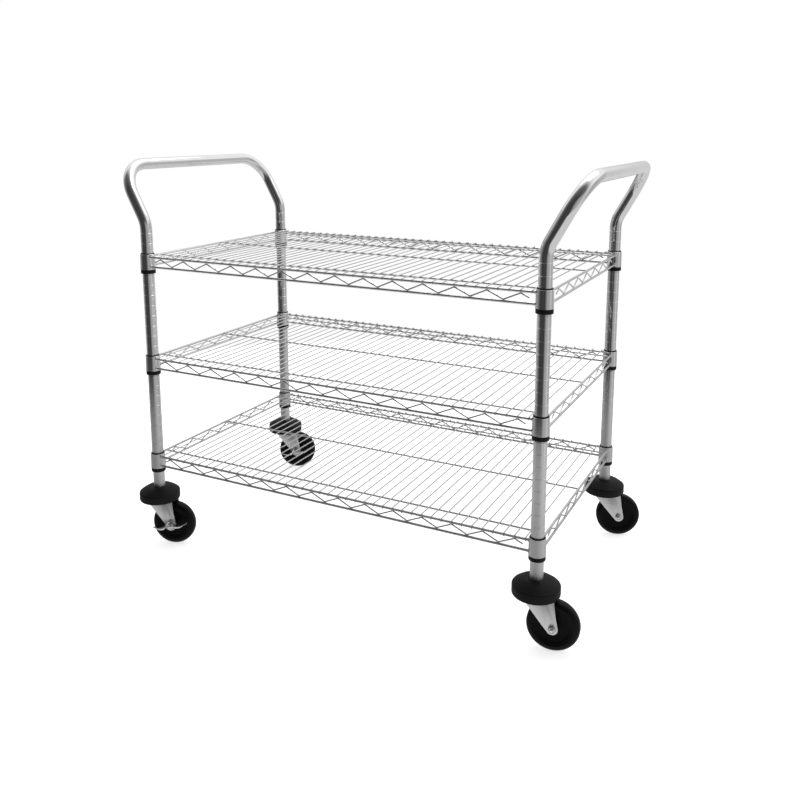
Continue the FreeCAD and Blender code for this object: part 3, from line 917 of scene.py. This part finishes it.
studio = {
    "floorRadius": 2.1,
    "floorShade": 0.85,
    "floorGlow": 0.75,
    "floorMirrored": 0.66,
    "cameraSpot": (0.985, -1.835, 1.052),
    "cameraTurn": 27.105,
    "cameraTilt": 10.169,
    "lens": 38.57,
    "shift": -0.15,
}


def makeFloor():
    deselect()
    bpy.ops.mesh.primitive_circle_add(vertices=96, radius=studio["floorRadius"], fill_type="NGON",
                                      location=(0, 0, cadLow.z - 0.2 * mm))
    floor = settle(bpy.context.object)
    floor.name = "floor"
    paper = Finish("floorPaper", baseColor=grey(studio["floorShade"]), metallic=0.0,
                   emissionColor=grey(1.0), emissionStrength=studio["floorGlow"])
    fibre = paper.noise(40, (1, 1, 1), 3.0)
    paper.set(roughness=0.62 + fibre * 0.1)
    floor.data.materials.append(paper.material)
    floor.visible_glossy = False


# brightness round the room: (bearing in degrees from +Y, shade); the camera stands near 150
walls = [(-180, 0.06), (-165, 0.045), (-150, 0.045), (-137, 0.05), (-124, 0.12), (-110, 0.20), (-95, 0.32),
         (-80, 0.38), (-60, 0.34), (-48, 0.26), (-34, 0.42), (-15, 0.66), (10, 0.68), (22, 0.50),
         (38, 0.50), (50, 0.44), (60, 0.34), (70, 0.50), (84, 0.64), (96, 0.52), (106, 0.42), (112, 0.34),
         (122, 0.42), (130, 0.38), (141, 0.26), (150, 0.14), (160, 0.05), (170, 0.035), (180, 0.06)]
overhead = [(-0.8, 0.05), (-0.3, 0.15), (0.05, 0.78), (0.35, 0.94)]   # by the Y part of the direction


def makeSurroundings():
    # the lens sees plain white; the metal mirrors a room that is dark in front and pale behind
    world = bpy.data.worlds.new("studioRoom")
    bpy.context.scene.world = world
    world.use_nodes = True
    tree = world.node_tree
    tree.nodes.clear()
    room = Finish.__new__(Finish)
    room.tree = tree
    way = room.node("ShaderNodeTexCoord", {}, {}, output="Generated")
    x, y, z = [room.node("ShaderNodeSeparateXYZ", {}, {"Vector": way}, output=i) for i in range(3)]
    bearing = room.node("ShaderNodeMath", {"operation": "ARCTAN2"}, {0: x, 1: y}) * (0.5 / math.pi) + 0.5
    around = room.ramp(bearing, [((degrees + 180) / 360, shade) for degrees, shade in walls])
    above = room.ramp(y * 0.5 + 0.5, [(part * 0.5 + 0.5, shade) for part, shade in overhead])
    aloft = room.ramp(z, [(0.16, 0.0), (0.36, 1.0)])
    below = room.ramp(z * -1.0, [(0.32, 0.0), (0.44, 1.0)])
    shown = room.tint(below, room.tint(aloft, around, above), grey(studio["floorMirrored"]))
    glow = room.node("ShaderNodeBackground", {}, {"Color": shown, "Strength": 1.0})
    seen = room.node("ShaderNodeBackground", {}, {"Color": (1, 1, 1, 1), "Strength": 1.0})
    looking = room.node("ShaderNodeLightPath", {}, {}, output="Is Camera Ray")
    both = room.node("ShaderNodeMixShader", {}, {0: looking, 1: glow, 2: seen})
    out = tree.nodes.new("ShaderNodeOutputWorld")
    tree.links.new(both.socket, out.inputs["Surface"])


def areaLight(name, spot, aim, size, power):
    light = bpy.data.lights.new(name, "AREA")
    light.energy = power
    light.shape = "RECTANGLE"
    light.size, light.size_y = size
    lamp = bpy.data.objects.new(name, light)
    bpy.context.scene.collection.objects.link(lamp)
    lamp.location = spot
    lamp.rotation_euler = (Vector(aim) - Vector(spot)).to_track_quat("-Z", "Y").to_euler()


def makeCamera():
    lens = bpy.data.cameras.new("mainCamera")
    lens.lens = studio["lens"]
    lens.sensor_width = 36
    lens.shift_y = studio["shift"]
    viewer = bpy.data.objects.new("mainCamera", lens)
    bpy.context.scene.collection.objects.link(viewer)
    viewer.location = studio["cameraSpot"]
    viewer.rotation_euler = (math.radians(90 - studio["cameraTilt"]), 0,
                             math.radians(studio["cameraTurn"]))
    bpy.context.scene.camera = viewer


makeFloor()
makeSurroundings()
areaLight("topBank", (0.3, 0.9, 3.0), (0, 0, 0), (2.6, 1.8), 26)
makeCamera()
bpy.context.scene.view_settings.view_transform = "Standard"
print("studio set")
